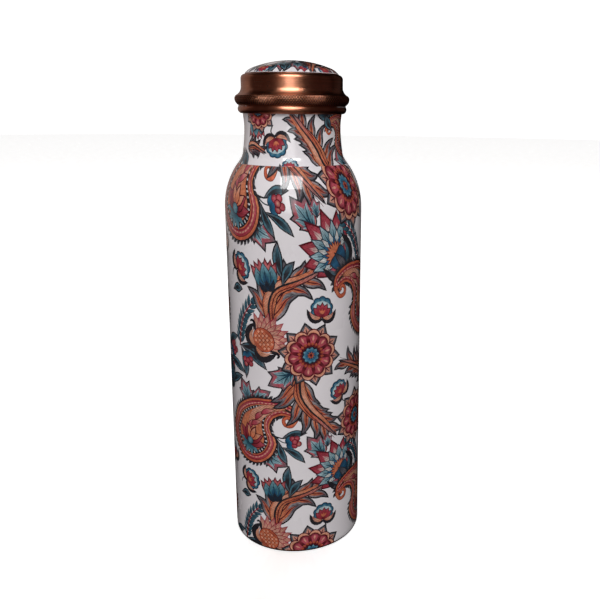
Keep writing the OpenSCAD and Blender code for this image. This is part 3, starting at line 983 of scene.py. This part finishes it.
def make_dome_print():
    """The dome's film: a drawing on a disc, pressed on to the dome."""
    r = widest("dome_print")
    outline = dome_wall()[::-1]
    ways = 1j * np.gradient(outline)
    ways = ways / abs(ways)

    def on_dome(spots, depth):
        """Points at a depth under the dome's top above places on the disc, and its normals."""
        lean = np.interp(abs(spots), outline.real, ways)
        lean = lean / abs(lean)
        height = np.interp(abs(spots), outline.real, outline.imag) - depth / lean.imag
        flat = spots / np.maximum(abs(spots), 1e-9) * lean.real
        return (np.stack([spots.real, spots.imag, height], 1),
                np.stack([flat.real, flat.imag, lean.imag], 1))

    angles = 2 * math.pi * np.arange(LINING_COLUMNS) / LINING_COLUMNS
    ring = np.exp(1j * angles)
    steps = np.arange(-r, r, DOME_STEP)
    grid = (steps[:, None] + 1j * steps[None, :]).ravel()
    art = dome_pattern()
    places, triangles, shown = arrange(art, r * ring, grid[abs(grid) < r - 0.5])
    colour, hatch = corner_paint(art, places, triangles, shown)
    points, normal = on_dome(places, 0.0)
    lining, _ = on_dome(np.append(np.outer(outline.real[:0:-1], ring), 0), FILM_T)
    last = len(points) + len(lining) - 1
    rings = np.arange(len(points), last).reshape(-1, LINING_COLUMNS)
    rim = np.flatnonzero(abs(places) > r * math.cos(math.pi / LINING_COLUMNS) - ON_SEAM)
    turn = np.angle(places[rim]) % (2 * math.pi)
    order = np.argsort(turn)
    extra = zip_rings(rings[0], angles, rim[order], turn[order])
    for outer, inner in zip(rings[:-1], rings[1:]):
        extra += zip_rings(inner, angles, outer, angles)
    extra += [(last, b, a) for a, b in zip(rings[-1], np.roll(rings[-1], -1))]
    inward = np.tile([0.0, 0.0, -1.0], (len(lining), 1))
    piece = make_mesh("dome_film", np.concatenate([points, lining]), list(triangles) + extra,
                      np.concatenate([normal, inward]))
    store_paint(piece, colour, hatch)
    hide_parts("dome_print")
    return piece


def cap_outline(depth):
    """The cap's section at a depth below its outside, from the hem to the lip, in stretches:
    the bead's lower half, its upper half, the cove, and the curled crown."""
    bead_z = foot("cap_skirt") + BEAD_LOW_R * math.sin(math.radians(HEM_ANGLE))
    bead_x = widest("cap_skirt")
    across = SKIRT_R + COVE_R - bead_x + BEAD_HIGH_R
    turn = math.degrees(math.acos(across / (BEAD_HIGH_R + COVE_R)))
    cove_z = bead_z + (BEAD_HIGH_R + COVE_R) * math.sin(math.radians(turn))
    crown = SKIRT_R - CROWN_R + 1j * (top("cap_skirt") - CROWN_R)
    low = bead_x - BEAD_LOW_R + 1j * bead_z
    hem = low + BEAD_LOW_R * cis(-HEM_ANGLE) - depth - 1j * HEM_DROP
    return [
        np.append(hem, arc(low, BEAD_LOW_R - depth, -HEM_ANGLE, 0, 12)),
        arc(bead_x - BEAD_HIGH_R + 1j * bead_z, BEAD_HIGH_R - depth, 0, turn, 6),
        arc(SKIRT_R + COVE_R + 1j * cove_z, COVE_R + depth, 180 + turn, 180, 12),
        arc(crown, CROWN_R - depth, 0, 80, 12),
    ]


def rounded_end(a, b, steps=5):
    """The points of a half circle from a to b, without its ends. It bulges to the right."""
    turns = np.exp(1j * np.linspace(0, np.pi, steps + 2)[1:-1])
    return (a + b) / 2 + (a - b) / 2 * turns


def make_cap_skirt():
    """The copper skirt with its knurled bead, as one closed sheet."""
    outer = cap_outline(0.0)
    inner = np.concatenate(cap_outline(CAP_T))
    inner = inner[np.append(True, abs(np.diff(inner)) > 1e-6)]
    low, high = outer[0], outer[1]
    start = low[HEM_POINTS]
    end = high[-3]
    around = np.concatenate([low, high[1:]])
    run = run_of(around)
    span = np.interp([start.imag, end.imag], around.imag, run)
    rows = np.interp(np.linspace(span[0], span[1], KNURL_ROWS), run, around)
    outside = np.concatenate([low[:HEM_POINTS], rows, high[-2:], outer[2][1:], outer[3]])
    outline = np.concatenate([
        outside,
        rounded_end(outside[-1], inner[-1]),
        inner[::-1],
        rounded_end(inner[0], outside[0]),
    ])
    piece = turned("knurled_skirt", outline, 4 * KNURLS,
                   range(HEM_POINTS, HEM_POINTS + KNURL_ROWS))
    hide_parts("cap_skirt")
    return piece

# ---------------------------------------------------------------- materials
class Nodes:
    """Short calls that build one material's node tree."""

    def __init__(self, name):
        self.material = bpy.data.materials.new(name)
        self.material.use_nodes = True
        self.tree = self.material.node_tree
        self.shader = self.tree.nodes["Principled BSDF"]

    def add(self, kind, settings=(), inputs=()):
        node = self.tree.nodes.new("ShaderNode" + kind)
        for name, value in dict(settings).items():
            setattr(node, name, value)
        for name, value in dict(inputs).items():
            self.join(value, node.inputs[name])
        return node

    def join(self, value, socket):
        """Links another node's output to a socket, or sets the socket's own value."""
        if isinstance(value, bpy.types.NodeSocket):
            self.tree.links.new(value, socket)
        else:
            socket.default_value = value

    def place(self, scale):
        """The object's own coordinates, stretched along each axis."""
        where = self.add("TexCoord").outputs["Object"]
        return self.add("Mapping", inputs={"Vector": where, "Scale": scale}).outputs["Vector"]

    def noise(self, scale, detail=3.0, size=1.0, roughness=0.5):
        inputs = {"Vector": self.place(scale), "Scale": size, "Detail": detail,
                  "Roughness": roughness}
        return self.add("TexNoise", inputs=inputs).outputs["Fac"]

    def span(self, value, low, high, start=0.0, end=1.0):
        """A value moved from low..high to start..end, and held within it."""
        inputs = {"Value": value, "From Min": low, "From Max": high, "To Min": start, "To Max": end}
        return self.add("MapRange", inputs=inputs).outputs["Result"]

    def math(self, operation, a, b=0.0):
        node = self.add("Math", {"operation": operation})
        self.join(a, node.inputs[0])
        self.join(b, node.inputs[1])
        return node.outputs[0]

    def mix(self, share, a, b, blend="MIX"):
        node = self.add("Mix", {"data_type": "RGBA", "blend_type": blend})
        self.join(share, node.inputs[0])
        self.join(a, node.inputs[6])
        self.join(b, node.inputs[7])
        return node.outputs[2]

    def bump(self, height, distance, strength):
        inputs = {"Height": height, "Distance": distance, "Strength": strength}
        return self.add("Bump", inputs=inputs).outputs["Normal"]

    def finish(self, **values):
        for name, value in values.items():
            self.join(value, self.shader.inputs[name.replace("_", " ")])
        return self.material


def tone(code):
    """A colour socket's value from an sRGB hex code."""
    return (*linear(code), 1.0)


def lacquered_print():
    """The printed film under a clear glossy lacquer."""
    n = Nodes("lacquered_print")
    colour = n.add("Attribute", {"attribute_name": "print_colour"}).outputs["Color"]
    hatch = n.add("Attribute", {"attribute_name": "print_hatch"}).outputs["Vector"]
    parts = n.add("SeparateXYZ", inputs={"Vector": hatch})
    wander = n.span(n.noise((1, 1, 1), 2, 180), 0.3, 0.7, -0.35, 0.35)
    across = n.math("ADD", n.math("DIVIDE", parts.outputs["X"], HATCH_PITCH), wander)
    wave = n.math("SINE", n.math("MULTIPLY", across, 2 * math.pi))
    line = n.math("MULTIPLY", n.span(wave, 0.1, 0.7), parts.outputs["Y"])
    dark = n.mix(n.math("MULTIPLY", line, 0.5), colour, tone("#3a2a30"))
    dabs = n.span(n.noise((1, 1, 1), 4, 700, 0.6), 0.35, 0.65, 0.72, 1.16)
    washes = n.span(n.noise((1, 1, 1), 3, 160), 0.3, 0.7, 0.85, 1.1)
    inked = n.mix(parts.outputs["Z"], (1, 1, 1, 1), n.math("MULTIPLY", dabs, washes))
    faint = n.span(n.noise((1, 1, 1), 3, 60), 0.3, 0.7, 0.96, 1.0)
    painted = n.mix(1.0, n.mix(1.0, dark, inked, "MULTIPLY"), faint, "MULTIPLY")
    ripple = n.bump(n.noise((1, 1, 1), 2, 110), 0.00012, 0.35)
    smear = n.span(n.noise((1, 1, 1), 4, 45), 0.35, 0.7, 0.22, 0.34)
    return n.finish(Base_Color=painted, Roughness=smear, Normal=ripple, Coat_Weight=1.0,
                    Coat_Roughness=0.06, Coat_IOR=1.5, Specular_IOR_Level=0.3,
                    Coat_Normal=ripple)


def spun_copper(name, bright, dull, dark, roughness, lines, patina):
    """Copper with fine turned lines round it, patina, and painted shade in the knurl's grooves. lines is
    their depth in metres.
    """
    n = Nodes(name)
    rings = n.noise((12, 12, 5200), 3)
    fine = n.noise((30, 30, 14000), 2)
    cloud = n.noise((1, 1, 1), 4, 90, 0.6)
    stain = n.noise((1, 1, 1), 5, 38, 0.65)
    metal = n.mix(n.span(cloud, 0.35, 0.68), tone(bright), tone(dull))
    streaked = n.mix(n.span(rings, 0.4, 0.75, 0.0, 0.35), metal, tone(dark))
    patina_and_groove_shade = n.mix(n.span(stain, 0.5, 0.75, 0.0, patina), streaked, tone(dark))
    # Painted shade: the copper is darkened towards #30140d at the bottom of the knurl's grooves
    painted_groove_shade = n.add("Attribute", {"attribute_name": "painted_groove_shade"}).outputs["Fac"]
    patina_and_groove_shade = n.mix(n.math("MULTIPLY", painted_groove_shade, 0.85), patina_and_groove_shade, tone("#30140d"))
    rough = n.math("ADD", n.span(cloud, 0.3, 0.7, roughness - 0.04, roughness + 0.05),
                   n.span(rings, 0.3, 0.7, -0.03, 0.05))
    rough = n.math("ADD", rough, n.span(stain, 0.5, 0.75, 0.0, 0.12))
    relief = n.bump(n.math("ADD", rings, n.math("MULTIPLY", fine, 0.5)), lines, 0.8)
    tangent = n.add("Tangent", {"direction_type": "RADIAL", "axis": "Z"}).outputs["Tangent"]
    return n.finish(Base_Color=patina_and_groove_shade, Metallic=1.0, Roughness=rough, Normal=relief,
                    Anisotropic=0.75, Anisotropic_Rotation=0.25, Tangent=tangent,
                    Coat_Weight=0.35, Coat_Roughness=0.12)


def silicone():
    n = Nodes("silicone")
    cloud = n.noise((1, 1, 1), 3, 120)
    colour = n.mix(n.span(cloud, 0.3, 0.7), tone("#e9e7df"), tone("#d9d5c9"))
    grain = n.bump(n.noise((1, 1, 1), 2, 2500), 0.00002, 0.5)
    return n.finish(Base_Color=colour, Roughness=n.span(cloud, 0.3, 0.7, 0.42, 0.55), Normal=grain,
                    Subsurface_Weight=0.1, Subsurface_Scale=0.001)


def plain_stage(name, code, glow):
    """A pale surface that stays pale far from the lamps."""
    n = Nodes(name)
    grain = n.span(n.noise((1, 1, 1), 4, 30), 0.3, 0.7)
    colour = n.mix(grain, tone(code), tone("#ffffff"))
    return n.finish(Base_Color=colour, Roughness=0.9, Emission_Color=colour,
                    Emission_Strength=glow)


def dress(piece, body, material):
    """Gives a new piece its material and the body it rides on."""
    piece.data.materials.clear()
    piece.data.materials.append(material)
    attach(piece, body)


def cover(node, material):
    """Gives a carried-over CAD node its material."""
    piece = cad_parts[node]
    piece.data.materials.clear()
    piece.data.materials.append(material)

# ---------------------------------------------------------------- stage
SKY = 0.25                  # brightness of the light that comes from all round


def add_stage():
    """A wide pale floor inside a pale dome. Neither shows in the gloss, and the sky lights only
    what is matt, so that the metal mirrors the soft boxes and the dark between them."""
    floor = turned("floor", np.array([0.001, 0.001 - 10j, 6000 - 10j, 6000]), 64)
    floor.data.materials.append(plain_stage("pale_floor", "#f6f5f4", 0.8))
    dome = turned("backdrop", arc(0, 6100, -1, 89.9), 64)
    dome.data.materials.append(plain_stage("pale_backdrop", "#fdfdfd", 1.0))
    for piece in (floor, dome):
        piece.visible_diffuse = False
        piece.visible_glossy = False
    dome.visible_shadow = False
    world = bpy.data.worlds.new("sky")
    bpy.context.scene.world = world
    world.use_nodes = True
    sky = world.node_tree.nodes["Background"]
    sky.inputs["Color"].default_value = (1.0, 0.985, 0.985, 1.0)
    sky.inputs["Strength"].default_value = SKY
    world.cycles_visibility.glossy = False


def add_lamp(name, azimuth, elevation, distance, width, height, power, aim, colour=(1, 1, 1)):
    """A soft box. Azimuth 0 is the front and 90 the right; aim is the height it points at."""
    a, e = math.radians(azimuth), math.radians(elevation)
    way = Vector((math.sin(a) * math.cos(e), -math.cos(a) * math.cos(e), math.sin(e)))
    lamp = bpy.data.lights.new(name, "AREA")
    lamp.shape = "RECTANGLE"
    lamp.size = width
    lamp.size_y = height
    lamp.energy = power
    lamp.color = colour
    box = bpy.data.objects.new(name, lamp)
    box.location = Vector((0, 0, aim)) + distance * way
    box.rotation_euler = way.to_track_quat("Z", "Y").to_euler()
    box.visible_camera = False
    bpy.context.scene.collection.objects.link(box)
    return box


def add_lights():
    add_lamp("key", -4, 42, 1.2, 0.72, 0.42, 10, 0.205)
    add_lamp("front_panel", -5, 9, 1.2, 0.4, 0.6, 1.7, 0.245)
    add_lamp("left_panel", -142, 12, 1.3, 1.8, 1.2, 1.7, 0.2, (1.0, 0.86, 0.8))
    add_lamp("right_panel", 125, 12, 1.3, 0.8, 1.2, 0.1, 0.2, (1.0, 0.7, 0.65))
    add_lamp("left_room", -70, 10, 1.6, 2.6, 2.6, 0.9, 0.2, (1.0, 0.6, 0.55))
    add_lamp("right_room", 62, 10, 1.6, 2.4, 2.6, 0.7, 0.2, (1.0, 0.6, 0.6))


def add_camera():
    """The camera, at the height, tilt and turn of the reference view."""
    data = bpy.data.cameras.new("camera")
    data.lens = 41.14
    data.sensor_width = 36
    data.shift_x = -0.0957
    data.clip_start = 0.01
    data.clip_end = 50
    camera = bpy.data.objects.new("camera", data)
    tilt, yaw, roll = math.radians(15.68), math.radians(5.409), math.radians(0.714)
    turn = Matrix.Rotation(-yaw, 4, "Z") @ Matrix.Rotation(math.pi / 2 - tilt, 4, "X")
    camera.matrix_world = (Matrix.Translation((0, -0.3713, 0.2412)) @ turn
                           @ Matrix.Rotation(roll, 4, "Z"))
    bpy.context.scene.collection.objects.link(camera)
    bpy.context.scene.camera = camera


# ---------------------------------------------------------------- the bottle
add_camera()
add_stage()
add_lights()
bpy.context.scene.view_settings.view_transform = "Standard"

print_finish = lacquered_print()
copper = spun_copper("spun_copper", "#e09a78", "#c9795a", "#5a2818", 0.31, 0.00003, 0.35)
# The base cup's copper is a darker copy of the spun copper: painted shade, as the base faces down. It also
# has a stronger patina.
base_cup_shaded_copper = spun_copper("base_copper_painted_shade", "#8a5038", "#5f3424", "#1c0f0b", 0.36, 0.00003, 0.8)
copper_inside = spun_copper("inside_copper", "#c98763", "#b06a48", "#6d3a26", 0.3, 0.00002, 0.3)

dress(make_body_print(), "bottle", print_finish)
dress(make_neck_print(), "bottle", print_finish)
dress(make_dome_print(), "cap", print_finish)
dress(make_cap_skirt(), "cap", copper)
for node in ("body_shell", "neck_thread_ring", "cap_thread_ring", "cap_liner", "cap_dome"):
    cover(node, copper_inside)
cover("neck_collar", copper)
cover("base_cup", base_cup_shaded_copper)
cover("cap_gasket", silicone())
